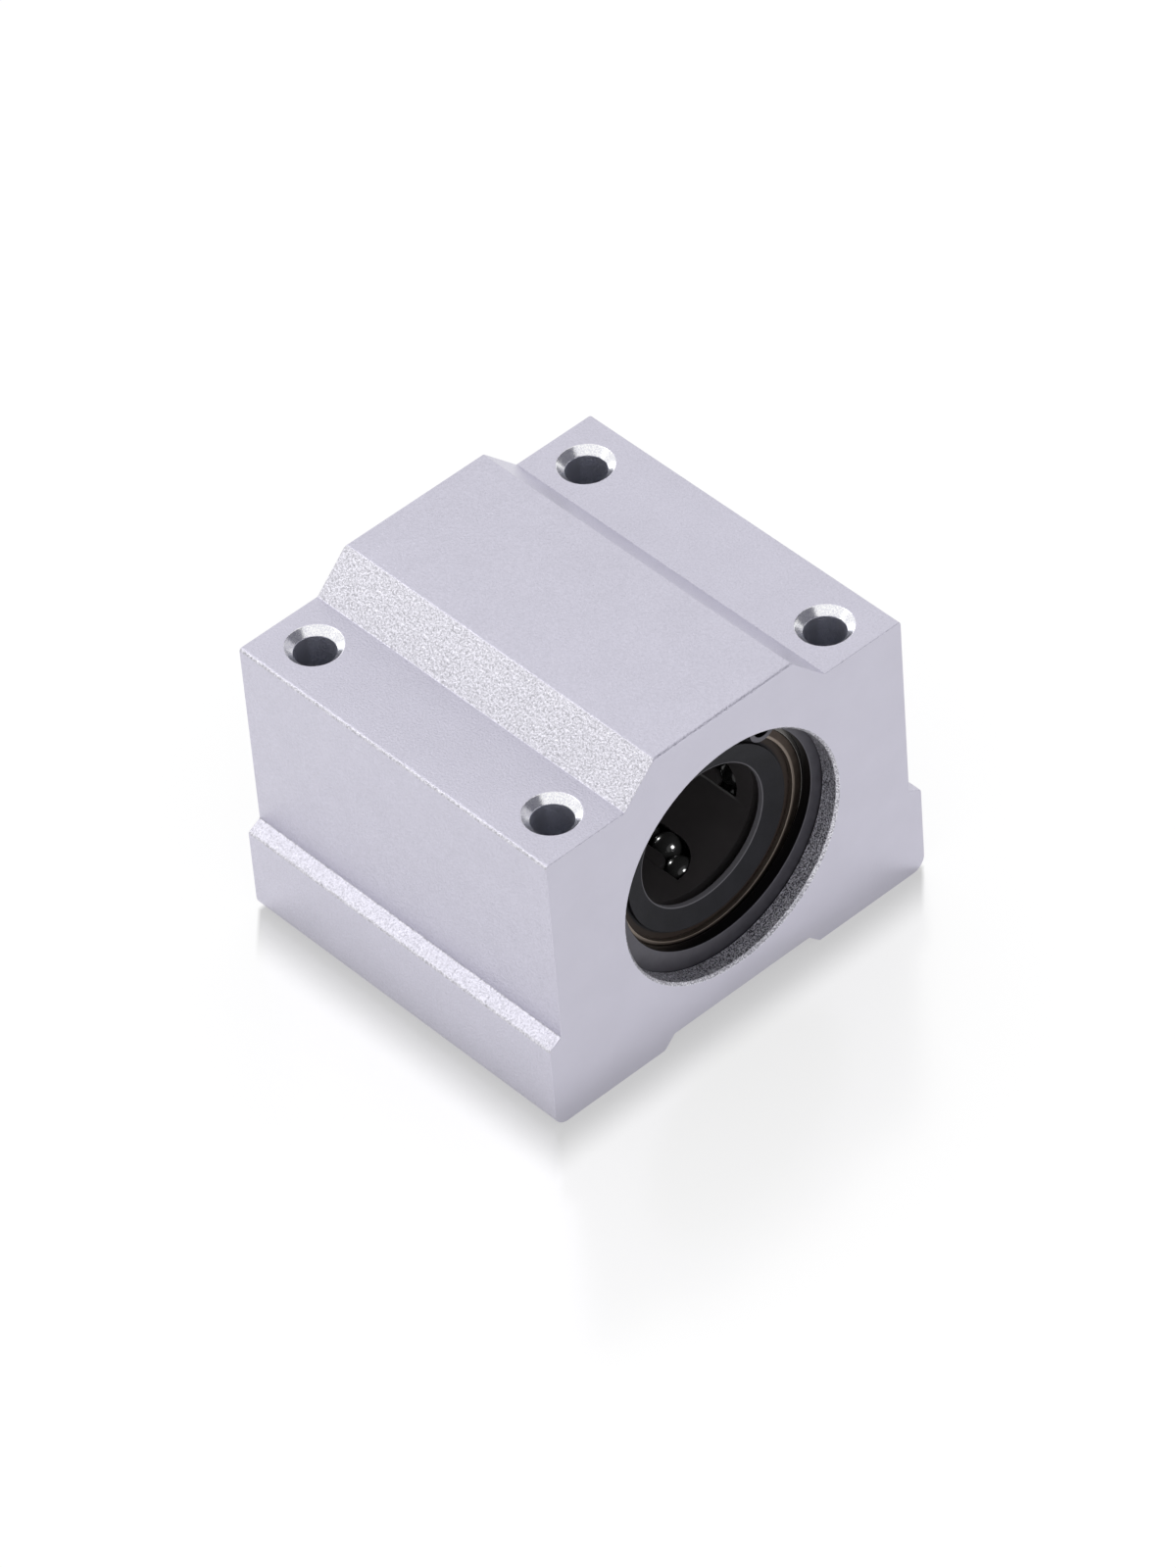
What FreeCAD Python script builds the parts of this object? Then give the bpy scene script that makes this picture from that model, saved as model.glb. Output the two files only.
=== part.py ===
import FreeCAD, Part
import math
import os
import Sketcher

# Linear bearing block for a 16 mm shaft, in millimetres.
# X runs across the block, Y along the shaft and Z up. The origin is at the middle of the base.
# The front is the -Y end. Everything round the shaft is drawn about its own Z axis, with Z
# pointing out of the front, and is laid into the bore by its placement.

SIZES = {
    # the extruded housing
    "block_width": 50.0,
    "block_height": 38.5,
    "shoulder_width": 46.8,
    "shoulder_height": 34.3,
    "crown_width": 18.0,
    "crown_foot_width": 26.4,
    "ledge_low": 10.5,
    "ledge_high": 11.4,
    "relief_mouth_width": 21.0,
    "relief_roof_width": 18.2,
    "relief_depth": 1.35,
    "base_corner_radius": 1.6,
    "profile_corner_radius": 0.4,
    # its bore and its screw holes
    "bore_height": 19.0,
    "bore_diameter": 28.0,
    "bore_break": 0.3,
    "hole_pitch_across": 36.0,
    "hole_pitch_along": 34.0,
    "hole_diameter": 4.3,
    "hole_sink_diameter": 6.0,
    "hole_sink_angle": 90.0,
    "hole_foot_break": 0.5,
    # the snap rings and their grooves
    "ring_inset": 2.275,
    "ring_thickness": 1.2,
    "ring_groove_width": 1.3,
    "ring_groove_diameter": 29.4,
    "ring_end_play": 0.025,
    "ring_seat_play": 0.05,
    "ring_inner_diameter": 24.9,
    "ring_offset": 0.75,
    "ring_gap_half_angle": 11.0,
    "ring_gap_direction": 78.0,
    "lug_hole_diameter": 2.3,
    "lug_circle_radius": 13.1,
    "lug_radius": 1.75,
    "lug_angle": 19.5,
    # the ball bushing's steel sleeve
    "bearing_length": 37.0,
    "bearing_fit": 0.01,
    "bearing_direction": -74.0,
    "sleeve_end_break": 0.5,
    "sleeve_groove_span": 26.5,
    "sleeve_groove_width": 1.6,
    "sleeve_groove_diameter": 27.0,
    "land_half_angle": 9.0,
    # its ball circuits
    "shaft_diameter": 16.0,
    "ball_diameter": 3.175,
    "ball_play": 0.01,
    "return_play": 0.05,
    "circuit_count": 5,
    "row_spacing": 5.0,
    "ball_start": 2.22,
    # the cage that carries them
    "cage_bore_diameter": 16.8,
    "track_width": 3.3,
    "track_ledge_depth": 0.94,
    "track_end_wall": 1.68,
    "slot_width": 2.6,
    "slot_floor_play": 0.04,
    # the side rings and the seals at both ends
    "side_ring_fit": 0.01,
    "side_ring_recess": 0.15,
    "side_ring_lip": 0.6,
    "side_ring_mouth_diameter": 22.8,
    "seal_groove_width": 1.9,
    "seal_groove_diameter": 23.9,
    "collar_width": 1.5,
    "collar_wall": 1.43,
    "cage_end_play": 0.02,
    "seal_play": 0.02,
    "seal_lip_play": 0.02,
    "seal_lip_width": 0.6,
    "seal_lip_depth": 0.85,
    "seal_lip_thickness": 0.6,
    "seal_dish_depth": 0.25,
    "seal_dish_diameter": 20.9,
}

# What follows from those sizes.
DERIVED = {
    "block_length": "sizes.bearing_length"
                    " + 2 * (sizes.ring_end_play + sizes.ring_thickness + sizes.ring_inset)",
    "bearing_half": "sizes.bearing_length / 2",
    "ring_plane": "sizes.bearing_length / 2 + sizes.ring_end_play",
    "load_radius": "sizes.shaft_diameter / 2 + sizes.ball_play + sizes.ball_diameter / 2",
    "race_radius": "sizes.shaft_diameter / 2 + 2 * sizes.ball_play + sizes.ball_diameter",
    "return_radius": "sqrt(load_radius ^ 2 + sizes.row_spacing ^ 2)",
    "seat_radius": "return_radius + sizes.ball_diameter / 2 + sizes.return_play",
    "track_floor": "load_radius - sizes.track_ledge_depth",
    "slot_floor": "load_radius - sizes.ball_diameter / 2 - sizes.slot_floor_play",
    "lip_end": "bearing_half - sizes.side_ring_recess - sizes.side_ring_lip",
    "collar_end": "lip_end - sizes.seal_groove_width",
    "cage_half": "collar_end - sizes.cage_end_play",
    "cage_radius": "seat_radius - sizes.side_ring_fit - sizes.collar_wall - sizes.cage_end_play",
    "load_length": "2 * cage_half - 2 * sizes.track_end_wall"
                   " - sizes.row_spacing - sizes.track_width",
}

document = FreeCAD.newDocument("linear_bearing_block")


def make_sheet(name, cells, prefix=""):
    """A sheet with a name in column A and its value in column B, reachable by that name."""
    sheet = document.addObject("Spreadsheet::Sheet", name)
    for row, (alias, value) in enumerate(cells.items(), 1):
        sheet.set("A%d" % row, alias)
        sheet.set("B%d" % row, prefix + str(value))
        sheet.setAlias("B%d" % row, alias)
    document.recompute()
    return sheet


sizes = make_sheet("sizes", SIZES)
derived = make_sheet("derived", DERIVED, prefix="=")


# ---------------------------------------------------------------- modelling helpers

def origin_part(body, role):
    """One of the body's own origin planes or axes."""
    return next(feature for feature in body.Origin.OriginFeatures if feature.Role == role)


def new_body(name):
    body = document.addObject("PartDesign::Body", name)
    body.Label = name
    return body


def new_sketch(body, name, plane, offset="0", height="0"):
    """A sketch on an origin plane, moved off it by offset and up in it by height."""
    sketch = body.newObject("Sketcher::SketchObject", name)
    sketch.AttachmentSupport = [(origin_part(body, plane), "")]
    sketch.MapMode = "FlatFace"
    sketch.setExpression("AttachmentOffset.Base.z", offset)
    sketch.setExpression("AttachmentOffset.Base.y", height)
    return sketch


def hold(sketch, geometry, point, x, y, start):
    """Tie a point of the sketch to two expressions, beginning at its drawn place."""
    for kind, expression, value in (("DistanceX", x, start.x), ("DistanceY", y, start.y)):
        constraint = Sketcher.Constraint(kind, -1, 1, geometry, point, value)
        index = sketch.addConstraint(constraint)
        sketch.setExpression("Constraints[%d]" % index, expression)


def outline(sketch, corners):
    """A closed run of straight lines whose corners are pairs of expressions."""
    count = len(corners)
    first = sketch.GeometryCount
    turn = 2 * math.pi / count
    drawn = [FreeCAD.Vector(math.cos(turn * n), math.sin(turn * n)) for n in range(count)]
    for n in range(count):
        sketch.addGeometry(Part.LineSegment(drawn[n], drawn[(n + 1) % count]), False)
    for n in range(count):
        following = first + (n + 1) % count
        sketch.addConstraint(Sketcher.Constraint("Coincident", first + n, 2, following, 1))
    for n, (x, y) in enumerate(corners):
        hold(sketch, first + n, 1, x, y, drawn[n])


def circle(sketch, diameter, x="0", y="0"):
    """A circle whose diameter and centre are expressions."""
    centre = FreeCAD.Vector(1, 1)
    index = sketch.addGeometry(Part.Circle(centre, FreeCAD.Vector(0, 0, 1), 1), False)
    hold(sketch, index, 3, x, y, centre)
    width = sketch.addConstraint(Sketcher.Constraint("Diameter", index, 2))
    sketch.setExpression("Constraints[%d]" % width, diameter)


def racetrack(sketch, middle, half_straight, radius):
    """An oval of two upright straights joined by two half circles, centred at middle."""
    begun, bent = 5.0, 2.0  # only where the drawing starts
    top, bottom = FreeCAD.Vector(0, begun), FreeCAD.Vector(0, -begun)
    arcs = []
    for centre, start in ((top, 0), (bottom, math.pi)):
        whole = Part.Circle(centre, FreeCAD.Vector(0, 0, 1), bent)
        arcs.append(sketch.addGeometry(Part.ArcOfCircle(whole, start, start + math.pi), False))
    for aside, begin, end in ((-bent, top, bottom), (bent, bottom, top)):
        shift = FreeCAD.Vector(aside, 0)
        line = sketch.addGeometry(Part.LineSegment(begin + shift, end + shift), False)
        before, after = arcs if begin is top else reversed(arcs)
        sketch.addConstraint(Sketcher.Constraint("Tangent", before, 2, line, 1))
        sketch.addConstraint(Sketcher.Constraint("Tangent", line, 2, after, 1))
    for arc, centre, sign in zip(arcs, (top, bottom), ("", "-")):
        hold(sketch, arc, 3, middle, sign + "(" + half_straight + ")", centre)
        bend = sketch.addConstraint(Sketcher.Constraint("Radius", arc, 2))
        sketch.setExpression("Constraints[%d]" % bend, radius)


def feature(body, kind, name, sketch, **expressions):
    """A PartDesign feature on a sketch, with its sizes given as expressions."""
    made = body.newObject("PartDesign::" + kind, name)
    made.Profile = sketch
    for key, expression in expressions.items():
        made.setExpression(key, expression)
    return made


def revolve(body, name, sketch, kind="Revolution", axis="V_Axis"):
    """Turn the sketch, or cut it, round its own upright or level axis."""
    made = feature(body, kind, name, sketch)
    made.ReferenceAxis = (sketch, [axis])
    made.Angle = 360
    return made


def repeat_round(body, name, originals):
    """Repeat features once for each ball circuit round the body's Z axis."""
    pattern = body.newObject("PartDesign::PolarPattern", name)
    pattern.Originals = originals
    pattern.Axis = (origin_part(body, "Z_Axis"), [""])
    pattern.Angle = 360
    pattern.setExpression("Occurrences", "sizes.circuit_count")
    body.Tip = pattern
    return pattern


def dress_edges(body, kind, name, key, expression, wanted):
    """Round or chamfer those edges of the body that the test picks."""
    document.recompute()
    base = body.Tip
    names = ["Edge%d" % n for n, edge in enumerate(base.Shape.Edges, 1) if wanted(edge)]
    made = body.newObject("PartDesign::" + kind, name)
    made.Base = (base, names)
    made.setExpression(key, expression)
    body.Tip = made
    return made


def near(one, other):
    return abs(one - other) < 1e-4


def lay_in_bore(body, direction, end=1, along="0"):
    """Stand a piece drawn about its own Z axis in the bore, facing the front or the rear.

    direction is the angle in degrees that the piece is turned about the shaft, and along is
    how far towards the end that it faces it sits."""
    upright = FreeCAD.Rotation(FreeCAD.Vector(1, 0, 0), 90)
    about = FreeCAD.Rotation(FreeCAD.Vector(0, 0, 1), 0 if end > 0 else 180)
    turned = FreeCAD.Rotation(FreeCAD.Vector(0, 0, 1), direction)
    body.Placement = FreeCAD.Placement(FreeCAD.Vector(), about * upright * turned)
    body.setExpression("Placement.Base.z", "sizes.bore_height")
    body.setExpression("Placement.Base.y", ("-1 * " if end > 0 else "1 * ") + "(" + along + ")")


# ---------------------------------------------------------------- the housing

def make_housing():
    """Extruded aluminium block: two screw shoulders, a raised crown over the bore, side
    ledges, and a shallow relief under the base. It is sawn off, bored, grooved and drilled."""
    body = new_body("housing")
    right = [
        ("sizes.relief_roof_width / 2", "sizes.relief_depth"),
        ("sizes.relief_mouth_width / 2", "0"),
        ("sizes.block_width / 2", "0"),
        ("sizes.block_width / 2", "sizes.ledge_low"),
        ("sizes.shoulder_width / 2", "sizes.ledge_high"),
        ("sizes.shoulder_width / 2", "sizes.shoulder_height"),
        ("sizes.crown_foot_width / 2", "sizes.shoulder_height"),
        ("sizes.crown_width / 2", "sizes.block_height"),
    ]
    left = [("-" + x, z) for x, z in reversed(right)]
    section = new_sketch(body, "housing_section", "XZ_Plane")
    outline(section, right + left)
    extrusion = feature(body, "Pad", "housing_extrusion", section, Length="derived.block_length")
    extrusion.SideType = "Symmetric"

    corners = (
        ("block_width", 0.0, "base_corner_radius"),
        ("block_width", SIZES["ledge_low"], "profile_corner_radius"),
        ("shoulder_width", SIZES["shoulder_height"], "profile_corner_radius"),
        ("crown_width", SIZES["block_height"], "profile_corner_radius"),
    )
    for number, (width, height, radius) in enumerate(corners):
        half = SIZES[width] / 2
        dress_edges(
            body, "Fillet", "housing_corner_%d" % number, "Radius", "sizes." + radius,
            lambda edge: all(near(abs(v.X), half) and near(v.Z, height) for v in edge.Vertexes))

    bore_mouth = new_sketch(body, "bore_section", "XZ_Plane")
    circle(bore_mouth, "sizes.bore_diameter", y="sizes.bore_height")
    bore = feature(body, "Pocket", "bore", bore_mouth, Length="2 * derived.block_length")
    bore.SideType = "Symmetric"

    ring_grooves = new_sketch(body, "ring_groove_section", "YZ_Plane", height="sizes.bore_height")
    inner = "(derived.bearing_half - sizes.ring_end_play)"
    outer = "(derived.bearing_half - sizes.ring_end_play + sizes.ring_groove_width)"
    for sign in ("-", ""):
        outline(ring_grooves, [
            (sign + inner, "sizes.shaft_diameter / 2"),
            (sign + outer, "sizes.shaft_diameter / 2"),
            (sign + outer, "sizes.ring_groove_diameter / 2"),
            (sign + inner, "sizes.ring_groove_diameter / 2"),
        ])
    revolve(body, "ring_grooves", ring_grooves, kind="Groove", axis="H_Axis")

    end = derived.get("block_length") / 2
    dress_edges(
        body, "Chamfer", "bore_mouth_chamfers", "Size", "sizes.bore_break",
        lambda edge: near(abs(edge.CenterOfMass.y), end) and edge.isClosed())

    places = new_sketch(body, "screw_hole_places", "XY_Plane", offset="sizes.shoulder_height")
    for across in ("-", ""):
        for along in ("-", ""):
            circle(places, "sizes.hole_diameter", across + "sizes.hole_pitch_across / 2",
                   along + "sizes.hole_pitch_along / 2")
    document.recompute()
    holes = feature(
        body, "Hole", "screw_holes", places, Diameter="sizes.hole_diameter",
        HoleCutDiameter="sizes.hole_sink_diameter",
        HoleCutCountersinkAngle="sizes.hole_sink_angle")
    holes.ThreadType = "None"
    holes.DepthType = "ThroughAll"
    holes.HoleCutType = "Countersink"
    holes.HoleCutCustomValues = True
    dress_edges(
        body, "Chamfer", "hole_foot_chamfers", "Size", "sizes.hole_foot_break",
        lambda edge: near(edge.CenterOfMass.z, 0) and edge.isClosed())
    return body


# ---------------------------------------------------------------- the snap rings

def make_snap_ring(name, end):
    """Stamped spring-steel retaining ring: widest opposite its gap, with a holed lug for the
    pliers at each side of the gap. It is drawn with the gap on its own X axis."""
    body = new_body(name)
    ring = new_sketch(body, name + "_section", "XY_Plane")
    circle(ring, "sizes.ring_groove_diameter - 2 * sizes.ring_seat_play")
    circle(ring, "sizes.ring_inner_diameter", x="sizes.ring_offset")
    feature(body, "Pad", name + "_blank", ring, Length="sizes.ring_thickness")

    def lug_places(sketch, diameter):
        for sign in ("-", ""):
            circle(sketch, diameter,
                   "sizes.lug_circle_radius * cos(sizes.lug_angle * 1deg)",
                   sign + "sizes.lug_circle_radius * sin(sizes.lug_angle * 1deg)")

    lugs = new_sketch(body, name + "_lug_section", "XY_Plane")
    lug_places(lugs, "2 * sizes.lug_radius")
    feature(body, "Pad", name + "_lugs", lugs, Length="sizes.ring_thickness")

    rim = new_sketch(body, name + "_rim_section", "XY_Plane")
    circle(rim, "sizes.ring_groove_diameter - 2 * sizes.ring_seat_play")
    circle(rim, "sizes.ring_groove_diameter + 4 * sizes.lug_radius")
    trimmed = feature(body, "Pocket", name + "_rim", rim, Length="2 * sizes.ring_thickness")
    trimmed.SideType = "Symmetric"

    holes = new_sketch(body, name + "_hole_section", "XY_Plane")
    lug_places(holes, "sizes.lug_hole_diameter")
    drilled = feature(body, "Pocket", name + "_holes", holes, Length="2 * sizes.ring_thickness")
    drilled.SideType = "Symmetric"

    gap = new_sketch(body, name + "_gap_section", "XY_Plane")
    reach = "sizes.ring_groove_diameter"
    rise = "sizes.ring_groove_diameter * tan(sizes.ring_gap_half_angle * 1deg)"
    outline(gap, [("0", "0"), (reach, "-" + rise), (reach, rise)])
    opened = feature(body, "Pocket", name + "_gap", gap, Length="2 * sizes.ring_thickness")
    opened.SideType = "Symmetric"
    lay_in_bore(body, SIZES["ring_gap_direction"], end, "derived.ring_plane")
    return body


# ---------------------------------------------------------------- the ball bushing

def make_sleeve():
    """Hardened steel sleeve: two clip grooves outside, and inside one raised race land over
    each loaded row of balls, with room between the lands for the returning balls."""
    body = new_body("bearing_sleeve")
    outer = "sizes.bore_diameter / 2 - sizes.bearing_fit"
    far = "sizes.sleeve_groove_span / 2"
    upper = [
        ("derived.seat_radius", "derived.bearing_half"),
        (outer + " - sizes.sleeve_end_break", "derived.bearing_half"),
        (outer, "derived.bearing_half - sizes.sleeve_end_break"),
        (outer, far),
        ("sizes.sleeve_groove_diameter / 2", far),
        ("sizes.sleeve_groove_diameter / 2", far + " - sizes.sleeve_groove_width"),
        (outer, far + " - sizes.sleeve_groove_width"),
    ]
    lower = [(r, "-(" + z + ")") for r, z in reversed(upper)]
    wall = new_sketch(body, "sleeve_section", "XZ_Plane")
    outline(wall, upper + lower)
    revolve(body, "sleeve_wall", wall)

    land = new_sketch(body, "land_section", "XZ_Plane")
    root = "derived.seat_radius + sizes.bearing_fit"
    outline(land, [
        ("derived.race_radius", "-derived.load_length / 2"),
        (root, "-derived.load_length / 2"),
        (root, "derived.load_length / 2"),
        ("derived.race_radius", "derived.load_length / 2"),
    ])
    first_land = feature(body, "Revolution", "race_land", land)
    first_land.ReferenceAxis = (land, ["V_Axis"])
    first_land.Midplane = True
    first_land.setExpression("Angle", "2 * sizes.land_half_angle")
    repeat_round(body, "race_lands", [first_land])
    lay_in_bore(body, SIZES["bearing_direction"])
    return body


def make_cage():
    """Moulded cage: a thin tube with one oval track for each circuit. The straight under the
    shaft side breaks through as a slot narrower than the balls, so they can't drop out."""
    body = new_body("ball_cage")
    tube = new_sketch(body, "cage_section", "XY_Plane")
    circle(tube, "2 * derived.cage_radius")
    circle(tube, "sizes.cage_bore_diameter")
    blank = feature(body, "Pad", "cage_tube", tube, Length="2 * derived.cage_half")
    blank.SideType = "Symmetric"
    cuts = []
    for name, floor, width in (("ball_track", "derived.track_floor", "track_width"),
                               ("ball_slot", "derived.slot_floor", "slot_width")):
        oval = new_sketch(body, name + "_section", "YZ_Plane", offset=floor)
        for sign in (" + ", " - "):
            racetrack(oval, "-sizes.row_spacing / 2", "derived.load_length / 2",
                      "sizes.row_spacing / 2" + sign + "sizes." + width + " / 2")
        cut = feature(body, "Pocket", name, oval, Length="derived.cage_radius")
        cut.Reversed = True
        cuts.append(cut)
    repeat_round(body, "ball_tracks", cuts)
    lay_in_bore(body, SIZES["bearing_direction"])
    return body


def make_side_ring(name, end):
    """Steel ring pressed into the sleeve's end: its lip and groove hold the seal, and its
    collar centres the end of the cage."""
    body = new_body(name)
    section = new_sketch(body, name + "_section", "XZ_Plane")
    front = "derived.bearing_half - sizes.side_ring_recess"
    rear = "derived.collar_end - sizes.collar_width"
    outer = "derived.seat_radius - sizes.side_ring_fit"
    collar = "derived.cage_radius + sizes.cage_end_play"
    outline(section, [
        ("sizes.side_ring_mouth_diameter / 2", front),
        (outer, front),
        (outer, rear),
        (collar, rear),
        (collar, "derived.collar_end"),
        ("sizes.seal_groove_diameter / 2", "derived.collar_end"),
        ("sizes.seal_groove_diameter / 2", "derived.lip_end"),
        ("sizes.side_ring_mouth_diameter / 2", "derived.lip_end"),
    ])
    revolve(body, name + "_turned", section)
    lay_in_bore(body, SIZES["bearing_direction"], end)
    return body


def make_seal(name, end):
    """Rubber end seal: a flange held in the side ring, a dished face that stands proud of it,
    and a thin wiping lip that runs on the shaft."""
    body = new_body(name)
    section = new_sketch(body, name + "_section", "XZ_Plane")
    lip = "sizes.shaft_diameter / 2 + sizes.seal_lip_play"
    flange = "sizes.seal_groove_diameter / 2 - sizes.seal_play"
    dish = "sizes.seal_dish_diameter / 2"
    lip_front = "derived.bearing_half - sizes.seal_lip_depth"
    outline(section, [
        (lip, lip_front + " - sizes.seal_play"),
        (lip + " + sizes.seal_lip_width", lip_front),
        (dish, "derived.bearing_half - sizes.seal_dish_depth"),
        (dish, "derived.lip_end - sizes.seal_play"),
        (flange, "derived.lip_end - sizes.seal_play"),
        (flange, "derived.collar_end + sizes.seal_play"),
        ("derived.cage_radius - sizes.seal_lip_width", "derived.collar_end + sizes.seal_play"),
        (lip, lip_front + " - sizes.seal_lip_thickness"),
    ])
    revolve(body, name + "_moulded", section)
    lay_in_bore(body, SIZES["bearing_direction"], end)
    return body


# ---------------------------------------------------------------- the balls

def ball_solid(radius):
    """A steel ball drawn light, with sixty flat facets whose corners lie on the sphere."""
    golden = (1 + math.sqrt(5)) / 2
    tips = []
    for a in (-1, 1):
        for b in (-golden, golden):
            tips += [FreeCAD.Vector(0, a, b), FreeCAD.Vector(a, b, 0), FreeCAD.Vector(b, 0, a)]

    def neighbours(tip):
        return [other for other in tips if near(other.distanceToPoint(tip), 2)]

    facets = []
    for n, tip in enumerate(tips):
        for other in tips[n + 1:]:
            if other not in neighbours(tip):
                continue
            shared = [third for third in neighbours(tip) if third in neighbours(other)]
            middles = [tip + other + third for third in shared]
            for apex in (tip, other):
                corners = [FreeCAD.Vector(corner) for corner in [apex] + middles]
                for corner in corners:
                    corner.normalize().multiply(radius)
                facets.append(Part.Face(Part.makePolygon(corners + corners[:1])))
    return Part.Solid(Part.Shell(facets))


def along_track(distance, spacing, straight):
    """A point of the oval track: how far it lies from the loaded row, and how far along."""
    turn = math.pi * spacing / 2
    distance = (distance + straight / 2) % (2 * (straight + turn))
    if distance < straight:
        return 0.0, distance - straight / 2
    distance -= straight
    if distance < turn:
        angle = distance / turn * math.pi
        return spacing / 2 * (1 - math.cos(angle)), straight / 2 + spacing / 2 * math.sin(angle)
    distance -= turn
    if distance < straight:
        return spacing, straight / 2 - distance
    angle = (distance - straight) / turn * math.pi
    return spacing / 2 * (1 + math.cos(angle)), -straight / 2 - spacing / 2 * math.sin(angle)


def make_balls():
    """Every circuit's balls in three groups: the loaded row under the race land, the row that
    returns, and the balls turning round the two ends."""
    spacing = SIZES["row_spacing"]
    straight = derived.get("load_length")
    # the balls stand closest where they turn, so the turns set how many a track holds
    closest = spacing * math.asin(SIZES["ball_diameter"] / spacing)
    track_length = 2 * straight + math.pi * spacing
    count = int(track_length / closest)
    pitch = track_length / count
    ball = ball_solid(SIZES["ball_diameter"] / 2)
    made = []
    for circuit in range(SIZES["circuit_count"]):
        turned = FreeCAD.Rotation(FreeCAD.Vector(0, 0, 1), 360 * circuit / SIZES["circuit_count"])
        groups = {"loaded_balls": [], "return_balls": [], "turning_balls": []}
        for number in range(count):
            aside, along = along_track(SIZES["ball_start"] + number * pitch, spacing, straight)
            group = "turning_balls"
            if near(aside, 0):
                group = "loaded_balls"
            elif near(aside, spacing):
                group = "return_balls"
            place = turned.multVec(FreeCAD.Vector(derived.get("load_radius"), -aside, along))
            groups[group].append(ball.translated(place))
        for group, balls in groups.items():
            name = "%s_%d" % (group, circuit + 1)
            row = document.addObject("Part::Feature", name)
            row.Label = name
            row.Shape = Part.makeCompound(balls)
            lay_in_bore(row, SIZES["bearing_direction"])
            made.append(row)
    return made


pieces = [make_housing()]
pieces += [make_snap_ring("snap_ring_front", 1), make_snap_ring("snap_ring_rear", -1)]
pieces += [make_sleeve(), make_cage()]
pieces += [make_side_ring("side_ring_front", 1), make_side_ring("side_ring_rear", -1)]
pieces += [make_seal("seal_front", 1), make_seal("seal_rear", -1)]
pieces += make_balls()
document.recompute()

for item in document.Objects:
    if "Invalid" in item.State or "Error" in item.State:
        raise RuntimeError("%s failed: %s" % (item.Label, item.State))
for piece in pieces:
    if piece.Shape.isNull() or not piece.Shape.isValid():
        raise RuntimeError("%s has no sound shape" % piece.Label)

os.makedirs("parts", exist_ok=True)
for piece in pieces:
    piece.Shape.exportStep("parts/%s.step" % piece.Label)
    print("%-18s %3d solids %10.3f mm3" % (
        piece.Label, len(piece.Shape.Solids), piece.Shape.Volume))
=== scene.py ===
import math
import bmesh
import bpy
from mathutils import Matrix, Quaternion, Vector


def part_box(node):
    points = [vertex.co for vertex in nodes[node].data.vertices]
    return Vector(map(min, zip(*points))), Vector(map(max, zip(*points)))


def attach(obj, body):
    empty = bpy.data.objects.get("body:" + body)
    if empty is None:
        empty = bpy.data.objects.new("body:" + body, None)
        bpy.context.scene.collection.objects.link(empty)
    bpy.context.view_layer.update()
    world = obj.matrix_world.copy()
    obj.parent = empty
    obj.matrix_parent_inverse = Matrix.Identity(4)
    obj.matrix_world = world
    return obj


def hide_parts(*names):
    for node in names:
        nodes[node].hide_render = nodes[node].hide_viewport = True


# In metres: the block stands on its base strips, with the shaft along Y and the front end
# towards -Y.
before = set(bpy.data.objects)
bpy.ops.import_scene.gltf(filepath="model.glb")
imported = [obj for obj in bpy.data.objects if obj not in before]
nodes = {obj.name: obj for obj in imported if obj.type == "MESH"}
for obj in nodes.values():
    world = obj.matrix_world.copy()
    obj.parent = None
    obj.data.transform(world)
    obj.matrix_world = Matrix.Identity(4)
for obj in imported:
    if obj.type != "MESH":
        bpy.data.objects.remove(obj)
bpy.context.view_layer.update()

# ---- The housing: one length of extruded aluminium, sawn off, bored through and grooved, with
# four screw holes drilled and countersunk from the shoulders. Its outside is bead blasted and
# clear anodised; the bore and the countersinks are bright from the tool.
housing_low, housing_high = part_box("housing")
sleeve_low, sleeve_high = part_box("bearing_sleeve")
shaft_height = (sleeve_low.z + sleeve_high.z) / 2
bore_radius, groove_radius, bore_break = 0.014, 0.0147, 0.0003
hole_across, hole_along, hole_radius, sink_radius = 0.018, 0.017, 0.00215, 0.003

# the slope colour is the same anodising with a painted tint, for the lamp's light on the left
# slope
anodised_flat, slope_painted_tint = (0.62, 0.606, 0.70, 1), (0.62, 0.61, 0.665, 1)
bore_dark, bore_bright = (0.06, 0.059, 0.07, 1), (0.66, 0.65, 0.72, 1)
mouth_dark, mouth_bright = (0.3, 0.295, 0.335, 1), (0.85, 0.84, 0.9, 1)
sink_dark, sink_bright = (0.8, 0.8, 0.86, 1), (1, 1, 1, 1)
drilled_wall = (0.65, 0.66, 0.74, 1)


def add(tree, kind, feeds=(), **settings):
    """A node of that kind, with its settings, its values and what is linked into it."""
    made = tree.nodes.new("ShaderNode" + kind)
    for key, value in settings.items():
        setattr(made, key, value)
    for key, value in dict(feeds).items():
        if isinstance(value, bpy.types.NodeSocket):
            tree.links.new(value, made.inputs[key])
        else:
            made.inputs[key].default_value = value
    return made


def result(tree, operation, one, other=0.0):
    """What an operation such as ADD gives for one value or two."""
    return add(tree, "Math", {0: one, 1: other}, operation=operation).outputs[0]


def spread(tree, value, low, high, between=(0.0, 1.0)):
    """Goes from low to high as the value goes from one end of between to the other."""
    return add(tree, "MapRange", {
        "Value": value, "From Min": between[0], "From Max": between[1],
        "To Min": low, "To Max": high}).outputs["Result"]


def below(tree, value, limit, soft):
    """A mask of 1 where the value lies below the limit, fading out over the soft width."""
    return spread(tree, value, 1.0, 0.0, (limit - soft, limit + soft))


def tinted(tree, mask, plain, marked):
    """A colour that goes from plain to marked with the mask."""
    return add(tree, "Mix", {0: mask, 6: plain, 7: marked}, data_type="RGBA").outputs[2]


def grain(tree, place, size, detail=2.0, roughness=0.5):
    """Cloudy grain whose features are about that many metres across."""
    return add(tree, "TexNoise", {
        "Vector": place, "Scale": 1.0 / size, "Detail": detail,
        "Roughness": roughness}).outputs["Fac"]


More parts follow.
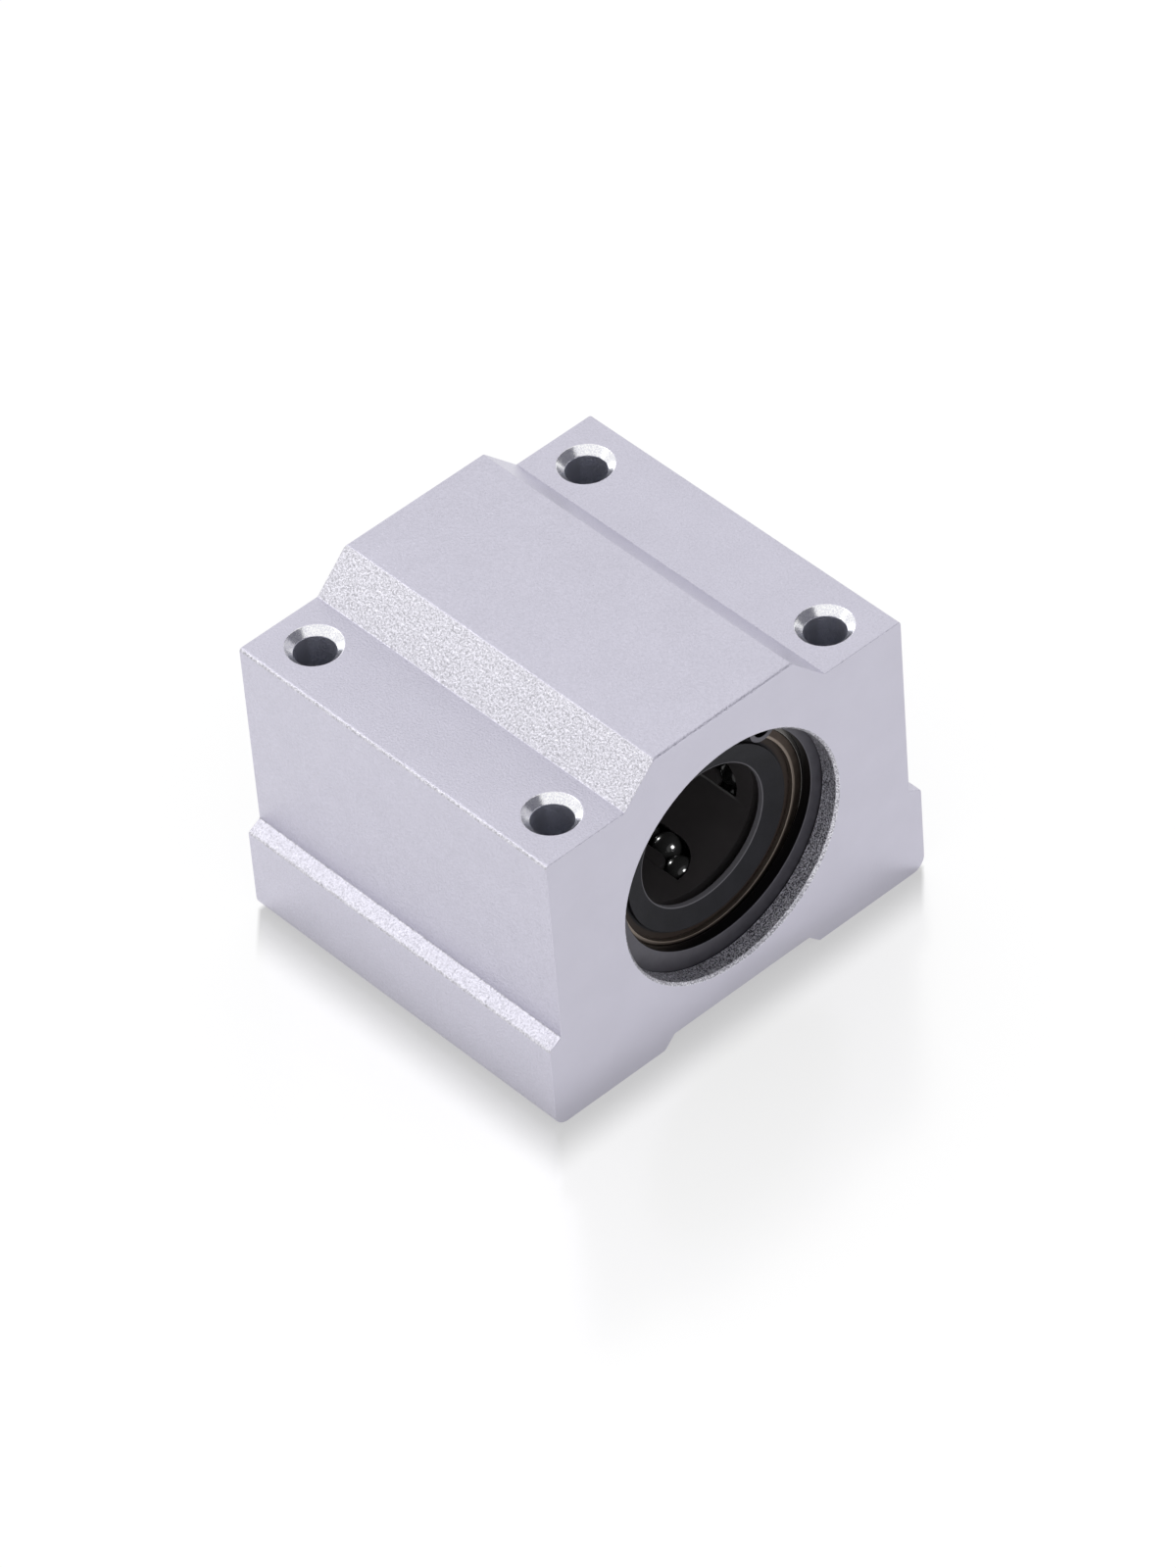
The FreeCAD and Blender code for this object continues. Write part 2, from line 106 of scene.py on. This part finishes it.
def from_axis(tree, across, upward):
    """How far a point lies from an axis, by its two steps away from it."""
    steps = add(tree, "CombineXYZ", {0: across, 1: upward}).outputs[0]
    return add(tree, "VectorMath", {0: steps}, operation="LENGTH").outputs["Value"]


def from_shaft(tree, axes):
    """How far a point lies from the shaft's axis."""
    return from_axis(tree, axes["X"], result(tree, "SUBTRACT", axes["Z"], shaft_height))


def finish_of(name, metallic, **constants):
    """A new material, its node tree and its shader, with the shader's plain values set."""
    material = bpy.data.materials.new(name)
    material.use_nodes = True
    tree = material.node_tree
    shader = tree.nodes["Principled BSDF"]
    shader.inputs["Metallic"].default_value = metallic
    for key, value in constants.items():
        shader.inputs[key.replace("_", " ")].default_value = value
    return material, tree, shader


def skin_over(tree, shader, colour, roughness):
    """Feeds the shader its colour and its roughness."""
    tree.links.new(colour, shader.inputs["Base Color"])
    tree.links.new(roughness, shader.inputs["Roughness"])


def relief_over(tree, shader, height, strength, depth):
    """Feeds the shader a fine relief of that depth in metres."""
    bump = add(tree, "Bump", {"Height": height, "Strength": strength, "Distance": depth})
    tree.links.new(bump.outputs[0], shader.inputs["Normal"])


def blasted_aluminium():
    """Pale blasted skin outside, with bare metal from the tool in the bore, on the broken edge
    at its mouth, and in the screw holes and their sinks."""
    material, tree, shader = finish_of("blasted_aluminium", 0.9)
    coordinates = add(tree, "TexCoord").outputs
    place = coordinates["Object"]
    axes = add(tree, "SeparateXYZ", {0: place}).outputs
    facing = add(tree, "SeparateXYZ", {0: coordinates["Normal"]}).outputs

    # where each face is: the masks end a few hairs from the edges of the faces
    hair = 0.00001
    shaft_distance = from_shaft(tree, axes)
    middle_distance = result(tree, "ABSOLUTE", axes["Y"])
    hole_distance = from_axis(
        tree,
        result(tree, "SUBTRACT", result(tree, "ABSOLUTE", axes["X"]), hole_across),
        result(tree, "SUBTRACT", middle_distance, hole_along))
    in_bore = result(
        tree, "MULTIPLY",
        below(tree, shaft_distance, groove_radius + 10 * hair, 2 * hair),
        below(tree, middle_distance, housing_high.y - bore_break - 2 * hair, 2 * hair))
    in_mouth = result(
        tree, "MULTIPLY",
        below(tree, shaft_distance, bore_radius + bore_break + hair, 2 * hair),
        result(tree, "SUBTRACT", 1.0, in_bore))
    in_hole = below(tree, hole_distance, hole_radius + 3 * hair, 2 * hair)
    in_sink = result(
        tree, "MULTIPLY",
        below(tree, hole_distance, sink_radius - hair, 2 * hair),
        result(tree, "SUBTRACT", 1.0, in_hole))
    on_end = spread(tree, result(tree, "ABSOLUTE", facing["Y"]), 0.0, 1.0, (0.9, 0.97))
    painted_glint_slope = result(
        tree, "MULTIPLY",
        spread(tree, facing["X"], 0.0, 1.0, (-0.4, -0.6)),
        spread(tree, facing["Z"], 0.0, 1.0, (0.1, 0.3)))

    # the left slope, which faces the lamp, gets painted glints in its colour and a painted tint;
    # the blasted skin is nearly even elsewhere
    noise_range = (0.3, 0.7)
    beads = grain(tree, place, size=0.00024, detail=3.0, roughness=0.6)
    clouds = grain(tree, place, size=0.004)
    even = spread(tree, beads, 0.93, 1.05, noise_range)
    painted_sparkle = spread(tree, beads, 0.6, 1.26, noise_range)
    end_tone = 0.94
    tone = spread(tree, on_end, spread(tree, painted_glint_slope, even, painted_sparkle), end_tone)
    tone = result(tree, "MULTIPLY", tone, spread(tree, clouds, 0.985, 1.015, noise_range))
    anodised = tinted(tree, painted_glint_slope, anodised_flat, slope_painted_tint)
    skin = add(tree, "VectorMath", {0: anodised, 3: tone}, operation="SCALE").outputs[0]

    # the tool leaves chatter in the bore, on its broken edge and in the sinks
    chatter = grain(tree, place, size=0.00016, roughness=0.6)
    chatter = spread(tree, chatter, 0.0, 1.0, (0.4, 0.62))
    for mask, dark, bright in ((in_bore, bore_dark, bore_bright),
                               (in_mouth, mouth_dark, mouth_bright),
                               (in_sink, sink_dark, sink_bright)):
        skin = tinted(tree, mask, skin, tinted(tree, chatter, dark, bright))
    skin = tinted(tree, in_hole, skin, drilled_wall)
    gloss = spread(tree, in_sink, spread(tree, in_bore, 0.32, 0.45), 0.17)
    skin_over(tree, shader, skin, gloss)

    # the blasted skin is pitted, the bore is scratched round, and sinks and ends are smoother
    along_scratches = add(tree, "CombineXYZ", {
        0: result(tree, "MULTIPLY", shaft_distance, 0.2), 1: axes["Y"]}).outputs[0]
    height = spread(tree, in_bore, beads, grain(tree, along_scratches, size=0.00006))
    for mask, smoothed in ((in_sink, 0.93), (on_end, 0.85)):
        height = spread(tree, result(tree, "MULTIPLY", mask, smoothed), height, 0.5)
    relief_over(tree, shader, height, strength=1.0, depth=0.0001)
    return material


def smoothing_group(name, sharp_angle):
    """Joins the mesh's loose corners and shades it smooth except over its sharp edges."""
    group = bpy.data.node_groups.new(name, "GeometryNodeTree")
    group.interface.new_socket("Geometry", in_out="INPUT", socket_type="NodeSocketGeometry")
    group.interface.new_socket("Geometry", in_out="OUTPUT", socket_type="NodeSocketGeometry")
    start = group.nodes.new("NodeGroupInput")
    merge = group.nodes.new("GeometryNodeMergeByDistance")
    merge.inputs["Distance"].default_value = 1e-7
    smooth = group.nodes.new("GeometryNodeSetShadeSmooth")
    sharp = group.nodes.new("GeometryNodeSetShadeSmooth")
    sharp.domain = "EDGE"
    sharp.inputs["Shade Smooth"].default_value = False
    angle = group.nodes.new("GeometryNodeInputMeshEdgeAngle")
    compare = group.nodes.new("ShaderNodeMath")
    compare.operation = "GREATER_THAN"
    compare.inputs[1].default_value = sharp_angle
    end = group.nodes.new("NodeGroupOutput")
    group.links.new(start.outputs[0], merge.inputs[0])
    group.links.new(merge.outputs[0], smooth.inputs[0])
    group.links.new(smooth.outputs[0], sharp.inputs[0])
    group.links.new(angle.outputs["Unsigned Angle"], compare.inputs[0])
    group.links.new(compare.outputs[0], sharp.inputs["Selection"])
    group.links.new(sharp.outputs[0], end.inputs[0])
    return group


sharp_from, flat_within = math.radians(28), math.radians(0.5)
smoothing = smoothing_group("smooth_machined_faces", sharp_from)


def break_edges(piece, width, segments=2):
    """Takes the sharpness off the edges of a solid, as tumbling or blasting does."""
    joined = piece.modifiers.new("smooth_faces", "NODES")
    joined.node_group = smoothing
    flats = piece.modifiers.new("flat_faces", "DECIMATE")
    flats.decimate_type = "DISSOLVE"
    flats.angle_limit = flat_within
    rounded = piece.modifiers.new("broken_edges", "BEVEL")
    rounded.width = width
    rounded.segments = segments
    rounded.limit_method = "ANGLE"
    rounded.angle_limit = sharp_from
    rounded.harden_normals = True
    rounded.miter_outer = "MITER_ARC"


def coat(piece, material):
    """Gives a piece one material in place of any that it has."""
    piece.data.materials.clear()
    piece.data.materials.append(material)


coat(nodes["housing"], blasted_aluminium())
break_edges(nodes["housing"], width=0.00012)

# ---- The sleeve: a tube of hardened steel, ground outside and pushed into the bore, with a race
# land over each loaded row of balls.
# the steel's colour is painted dark, as shade inside the bore; the ground tube itself is bright
shaded_sleeve_dark, shaded_sleeve_light = (0.12, 0.115, 0.11, 1), (0.18, 0.172, 0.165, 1)


def ground_steel():
    """Fine lines round the tube, left by the grinding wheel, over a colour painted dark as shade.
    """
    material, tree, shader = finish_of("ground_steel", 1.0)
    place = add(tree, "TexCoord").outputs["Object"]
    axes = add(tree, "SeparateXYZ", {0: place}).outputs
    lines = grain(tree, add(tree, "CombineXYZ", {1: axes["Y"]}).outputs[0], size=0.00005)
    clouds = grain(tree, place, size=0.002)
    skin_over(tree, shader, tinted(tree, clouds, shaded_sleeve_dark, shaded_sleeve_light),
              spread(tree, lines, 0.18, 0.32))
    relief_over(tree, shader, lines, strength=0.2, depth=0.00001)
    return material


coat(nodes["bearing_sleeve"], ground_steel())
break_edges(nodes["bearing_sleeve"], width=0.00005)

# ---- The cage: a moulded tube of black acetal inside the sleeve, with an oval track for each
# circuit of balls and a narrow slot along its loaded side.
acetal_dark, acetal_light = (0.034, 0.031, 0.032, 1), (0.05, 0.046, 0.048, 1)


def black_acetal():
    """Moulded plastic, with faint flow marks and a fine matt grain."""
    material, tree, shader = finish_of("black_acetal", 0.0, Specular_IOR_Level=0.35)
    place = add(tree, "TexCoord").outputs["Object"]
    flow = grain(tree, place, size=0.003)
    fine = grain(tree, place, size=0.0002)
    skin_over(tree, shader, tinted(tree, flow, acetal_dark, acetal_light),
              spread(tree, fine, 0.32, 0.5))
    relief_over(tree, shader, fine, strength=0.15, depth=0.00003)
    return material


coat(nodes["ball_cage"], black_acetal())
break_edges(nodes["ball_cage"], width=0.00005)

# ---- The balls: eighty lapped steel balls, sixteen in each of five oval circuits, held between
# the cage and the sleeve. One straight of a circuit bears on the shaft, the other carries the
# balls back.
ball_radius = 0.0015875
circuits, balls_each = 5, 16
row_spacing, load_length, load_radius = 0.005, 0.020, 0.0095975
circuit_direction, first_ball = math.radians(-74), 0.00222
# the balls' colour is painted nearly black, as the shade inside the bearing; the small lamps give
# their highlights
ball_shaded_dark, ball_shaded_light = (0.005, 0.005, 0.005, 1), (0.009, 0.009, 0.009, 1)


def lapped_steel():
    """Polished steel whose colour is painted nearly black, as shade inside the bearing, in uneven
    blotches.
    """
    material, tree, shader = finish_of("lapped_steel", 0.3)
    blotches = grain(tree, add(tree, "TexCoord").outputs["Object"], size=0.0009)
    skin_over(tree, shader, tinted(tree, blotches, ball_shaded_dark, ball_shaded_light),
              spread(tree, blotches, 0.12, 0.17))
    return material


def along_circuit(distance):
    """How far from the loaded row, and how far along it, a ball lies after that distance."""
    turn = math.pi * row_spacing / 2
    distance = (distance + load_length / 2) % (2 * (load_length + turn))
    if distance < load_length:
        return 0.0, distance - load_length / 2
    distance -= load_length
    if distance < turn:
        angle = distance / turn * math.pi
        return (row_spacing / 2 * (1 - math.cos(angle)),
                load_length / 2 + row_spacing / 2 * math.sin(angle))
    distance -= turn
    if distance < load_length:
        return row_spacing, load_length / 2 - distance
    angle = (distance - load_length) / turn * math.pi
    return (row_spacing / 2 * (1 + math.cos(angle)),
            -load_length / 2 - row_spacing / 2 * math.sin(angle))


def ball_row(name, centres, material):
    """The balls of one group as one piece."""
    mesh = bmesh.new()
    for centre in centres:
        bmesh.ops.create_icosphere(mesh, subdivisions=4, radius=ball_radius,
                                   matrix=Matrix.Translation(centre))
    for face in mesh.faces:
        face.smooth = True
    data = bpy.data.meshes.new(name)
    mesh.to_mesh(data)
    mesh.free()
    row = bpy.data.objects.new(name, data)
    bpy.context.scene.collection.objects.link(row)
    coat(row, material)
    return row


polished = lapped_steel()
ball_pitch = 2 * (load_length + math.pi * row_spacing / 2) / balls_each
on_a_straight = 1e-7
for circuit in range(circuits):
    turned = circuit_direction + 2 * math.pi * circuit / circuits
    groups = {"loaded_balls": [], "return_balls": [], "turning_balls": []}
    for number in range(balls_each):
        aside, along = along_circuit(first_ball + number * ball_pitch)
        group = "turning_balls"
        if aside < on_a_straight:
            group = "loaded_balls"
        elif aside > row_spacing - on_a_straight:
            group = "return_balls"
        groups[group].append(Vector((
            load_radius * math.cos(turned) + aside * math.sin(turned), -along,
            shaft_height + load_radius * math.sin(turned) - aside * math.cos(turned))))
    for group, centres in groups.items():
        cad_name = "%s_%d" % (group, circuit + 1)
        row = ball_row("bright_" + cad_name, centres, polished)
        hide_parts(cad_name)
        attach(row, "root")

# ---- The side rings: turned steel rings pressed into both ends of the sleeve. Each holds a seal
# by its lip and groove. They are coloured dark brown, but for the inner edge, which carries a
# painted highlight.
brown_dark, brown_light = (0.045, 0.034, 0.028, 1), (0.1, 0.078, 0.064, 1)
# the light colour at the inner edge is a painted highlight
edge_painted_highlight, highlight_radius = (0.28, 0.235, 0.2, 1), 0.01168


def brown_steel():
    """Steel coloured dark brown in blotches, with a painted highlight at its inner edge."""
    material, tree, shader = finish_of("brown_steel", 1.0)
    place = add(tree, "TexCoord").outputs["Object"]
    blotches = grain(tree, place, size=0.0012, detail=3.0)
    shaft_distance = from_shaft(tree, add(tree, "SeparateXYZ", {0: place}).outputs)
    highlight_mask = below(tree, shaft_distance, highlight_radius, soft=0.00006)
    brown = tinted(tree, blotches, brown_dark, brown_light)
    skin_over(tree, shader, tinted(tree, highlight_mask, brown, edge_painted_highlight),
              spread(tree, blotches, 0.36, 0.5))
    relief_over(tree, shader, grain(tree, place, size=0.0001), strength=0.12, depth=0.00001)
    return material


ring_finish = brown_steel()
for end in ("front", "rear"):
    coat(nodes["side_ring_" + end], ring_finish)
    break_edges(nodes["side_ring_" + end], width=0.00006)

# ---- The seals: moulded rubber discs with a dished face and a thin lip that wipes the shaft,
# each held in its side ring's groove. The lip's edge carries a painted highlight, and grease lies
# round the rim.
rubber_dark, rubber_light = (0.009, 0.009, 0.011, 1), (0.019, 0.019, 0.024, 1)
# the light colour at the lip's edge is a painted highlight
lip_painted_highlight, lip_highlight_radius = (0.12, 0.117, 0.13, 1), 0.00813
grease, grease_radius = (0.036, 0.027, 0.023, 1), 0.0107


def seal_rubber():
    """Matt black rubber with a faint bloom."""
    material, tree, shader = finish_of("seal_rubber", 0.0, Specular_IOR_Level=0.12)
    place = add(tree, "TexCoord").outputs["Object"]
    bloom = grain(tree, place, size=0.0025)
    fine = grain(tree, place, size=0.00015)
    shaft_distance = from_shaft(tree, add(tree, "SeparateXYZ", {0: place}).outputs)
    lip = below(tree, shaft_distance, lip_highlight_radius, soft=0.00004)
    clean = below(tree, shaft_distance, grease_radius, soft=0.0001)
    rubber = tinted(tree, bloom, rubber_dark, rubber_light)
    with_lip_highlight = tinted(tree, lip, rubber, lip_painted_highlight)
    skin_over(tree, shader, tinted(tree, clean, grease, with_lip_highlight), spread(tree, fine, 0.38, 0.55))
    relief_over(tree, shader, fine, strength=0.2, depth=0.00003)
    return material


sealing = seal_rubber()
for end in ("front", "rear"):
    coat(nodes["seal_" + end], sealing)
    break_edges(nodes["seal_" + end], width=0.00008, segments=3)

# ---- The snap rings: stamped spring steel, dark from hardening, sprung into the grooves of
# the bore. The lugs beside the gap take the points of the pliers.
scale_dark, scale_light = (0.085, 0.082, 0.095, 1), (0.13, 0.127, 0.145, 1)
# the near black of the cut walls is painted shade
wall_painted_shade = (0.012, 0.011, 0.013, 1)


def hardened_spring_steel():
    """Grey scale on the flat faces; the walls that the stamp cut are painted nearly black, as
    shade.
    """
    material, tree, shader = finish_of("hardened_spring_steel", 0.9)
    coordinates = add(tree, "TexCoord").outputs
    scale = grain(tree, coordinates["Object"], size=0.0015, detail=3.0)
    fine = grain(tree, coordinates["Object"], size=0.00012)
    facing = add(tree, "SeparateXYZ", {0: coordinates["Normal"]}).outputs
    shaded_wall_mask = below(tree, result(tree, "ABSOLUTE", facing["Y"]), 0.3, soft=0.2)
    flat = tinted(tree, scale, scale_dark, scale_light)
    skin_over(tree, shader, tinted(tree, shaded_wall_mask, flat, wall_painted_shade), spread(tree, fine, 0.35, 0.5))
    relief_over(tree, shader, fine, strength=0.2, depth=0.00002)
    return material


spring = hardened_spring_steel()
for end in ("front", "rear"):
    coat(nodes["snap_ring_" + end], spring)
    break_edges(nodes["snap_ring_" + end], width=0.00008)

# ---- The table: a wide pale sheet, glowing evenly from below and a little glossy, that runs on
# to a white room. Only a short soft shade is painted on it, in front and to the left of the block.
table_glow, table_matt = 0.69, 0.25
table_gloss, gloss_roughness = 0.12, 0.2
shade_depth, shade_reach, shade_edge = 0.34, 0.008, 0.0003
sideways, forwards = 0.7, 0.714


def add_sheet(name, half_size, stretch=1.0):
    """A flat sheet that isn't part of the object: a square, or stretched to the sides."""
    mesh = bmesh.new()
    bmesh.ops.create_grid(mesh, x_segments=1, y_segments=1, size=half_size,
                          matrix=Matrix.Diagonal((stretch, 1.0, 1.0, 1.0)))
    data = bpy.data.meshes.new(name)
    mesh.to_mesh(data)
    mesh.free()
    sheet = bpy.data.objects.new(name, data)
    bpy.context.scene.collection.objects.link(sheet)
    return sheet


def lit_sheet():
    """A mix of glow, matt and gloss, all of them weaker in the painted shade."""
    material, tree, shader = finish_of("lit_sheet", 0.0)
    tree.nodes.remove(shader)
    axes = add(tree, "SeparateXYZ", {0: add(tree, "TexCoord").outputs["Object"]}).outputs

    # how far out from the block's left and front sides a point lies, along the shade's slant
    reach = 0.0
    for axis, side, slant in (("X", housing_low.x, sideways), ("Y", housing_low.y, forwards)):
        out = result(tree, "DIVIDE", result(tree, "SUBTRACT", side, axes[axis]), slant)
        reach = result(tree, "MAXIMUM", out, reach)
    # a mask of 1 where the way back along the slant ends under the block
    inside = 1.0
    for axis, side, slant in (("X", housing_high.x, sideways), ("Y", housing_high.y, forwards)):
        back = result(tree, "ADD", axes[axis], result(tree, "MULTIPLY", reach, slant))
        inside = result(tree, "MULTIPLY", inside, below(tree, back, side - shade_edge, shade_edge))
    shade = add(tree, "MapRange", {
        "Value": reach, "From Max": shade_reach, "To Min": shade_depth, "To Max": 0.0},
        interpolation_type="SMOOTHSTEP").outputs["Result"]
    light = result(tree, "SUBTRACT", 1.0, result(tree, "MULTIPLY", shade, inside))

    matt = add(tree, "BsdfDiffuse", {"Color": spread(tree, light, 0.0, table_matt)})
    shine = add(tree, "BsdfGlossy", {"Color": light, "Roughness": gloss_roughness})
    glow = add(tree, "Emission", {"Strength": spread(tree, light, 0.0, table_glow)})
    skin = add(tree, "MixShader", {0: table_gloss, 1: matt.outputs[0], 2: shine.outputs[0]})
    both = add(tree, "AddShader", {0: skin.outputs[0], 1: glow.outputs[0]})
    tree.links.new(both.outputs[0], tree.nodes["Material Output"].inputs["Surface"])
    return material


table_sheet = add_sheet("table_sheet", half_size=3.0)
coat(table_sheet, lit_sheet())

# ---- The light: an even white room, a dark card that the metal mirrors, a large soft lamp behind
# on the left that the left slope and the ledges catch, and two small lamps, in front and behind,
# that spark on the balls.
block_middle = (housing_low + housing_high) / 2
world = bpy.data.worlds.new("white_room")
bpy.context.scene.world = world
world.use_nodes = True
room = world.node_tree.nodes["Background"]
room.inputs["Color"].default_value = (1, 1, 1, 1)
seen = add(world.node_tree, "LightPath").outputs["Is Camera Ray"]
world.node_tree.links.new(spread(world.node_tree, seen, 0.98, 1.0), room.inputs["Strength"])


def face_block(stand, towards, distance):
    """Stands a card or a lamp that way from the block's middle, turned to face it."""
    towards = Vector(towards).normalized()
    stand.location = block_middle + distance * towards
    stand.rotation_mode = "QUATERNION"
    stand.rotation_quaternion = towards.to_track_quat("Z", "Y")


def add_lamp(name, size, power, receivers):
    """A square area lamp that lights only its own set of receivers."""
    data = bpy.data.lights.new(name, "AREA")
    data.size = size
    data.energy = power
    stand = bpy.data.objects.new(name, data)
    bpy.context.scene.collection.objects.link(stand)
    stand.light_linking.receiver_collection = receivers
    return stand


# only the metal sees the card, which darkens the edges that face it
black_card = add_sheet("black_card", half_size=0.13, stretch=5.0)
face_block(black_card, (0.46, -0.69, 0.56), distance=0.5)
black_card.visible_camera = False
black_card.visible_diffuse = False
black_card.visible_shadow = False
coat(black_card, finish_of("black_felt", 0.0, Roughness=0.9, Base_Color=(0.09, 0.09, 0.12, 1))[0])

# the soft lamp leaves out the table, so that no cast shadow falls on it
all_but_table = bpy.data.collections.new("not_lit_by_softbox")
all_but_table.objects.link(table_sheet)
all_but_table.collection_objects[0].light_linking.link_state = "EXCLUDE"
softbox = add_lamp("left_back_softbox", size=0.22, power=0.36, receivers=all_but_table)
face_block(softbox, (-0.43, 0.56, 0.71), distance=0.5)

# the small lamps reach only the first circuit, which is the lowest
lowest_balls = bpy.data.collections.new("lit_by_sparks")
for group in ("loaded_balls_1", "return_balls_1", "turning_balls_1"):
    lowest_balls.objects.link(bpy.data.objects["bright_" + group])
front_spark = add_lamp("front_spark", size=0.15, power=4.0, receivers=lowest_balls)
face_block(front_spark, (0.05, -0.82, 0.57), distance=0.45)
rear_spark = add_lamp("rear_spark", size=0.07, power=1.2, receivers=lowest_balls)
face_block(rear_spark, (-0.05, 0.95, 0.3), distance=0.45)

# ---- The camera: it looks down on the front left corner of the block from far off, through a
# long lens.
camera_data = bpy.data.cameras.new("camera")
camera_data.lens = 201.1
camera_data.sensor_width = 36.0
camera_data.clip_start = 0.01
camera = bpy.data.objects.new("camera", camera_data)
camera.location = (-0.39498, -0.48005, 0.61136)
camera.rotation_mode = "QUATERNION"
camera.rotation_quaternion = Quaternion((0.851798, 0.374195, -0.116555, -0.347611))
bpy.context.scene.collection.objects.link(camera)
bpy.context.scene.camera = camera
bpy.context.scene.view_settings.view_transform = "Standard"
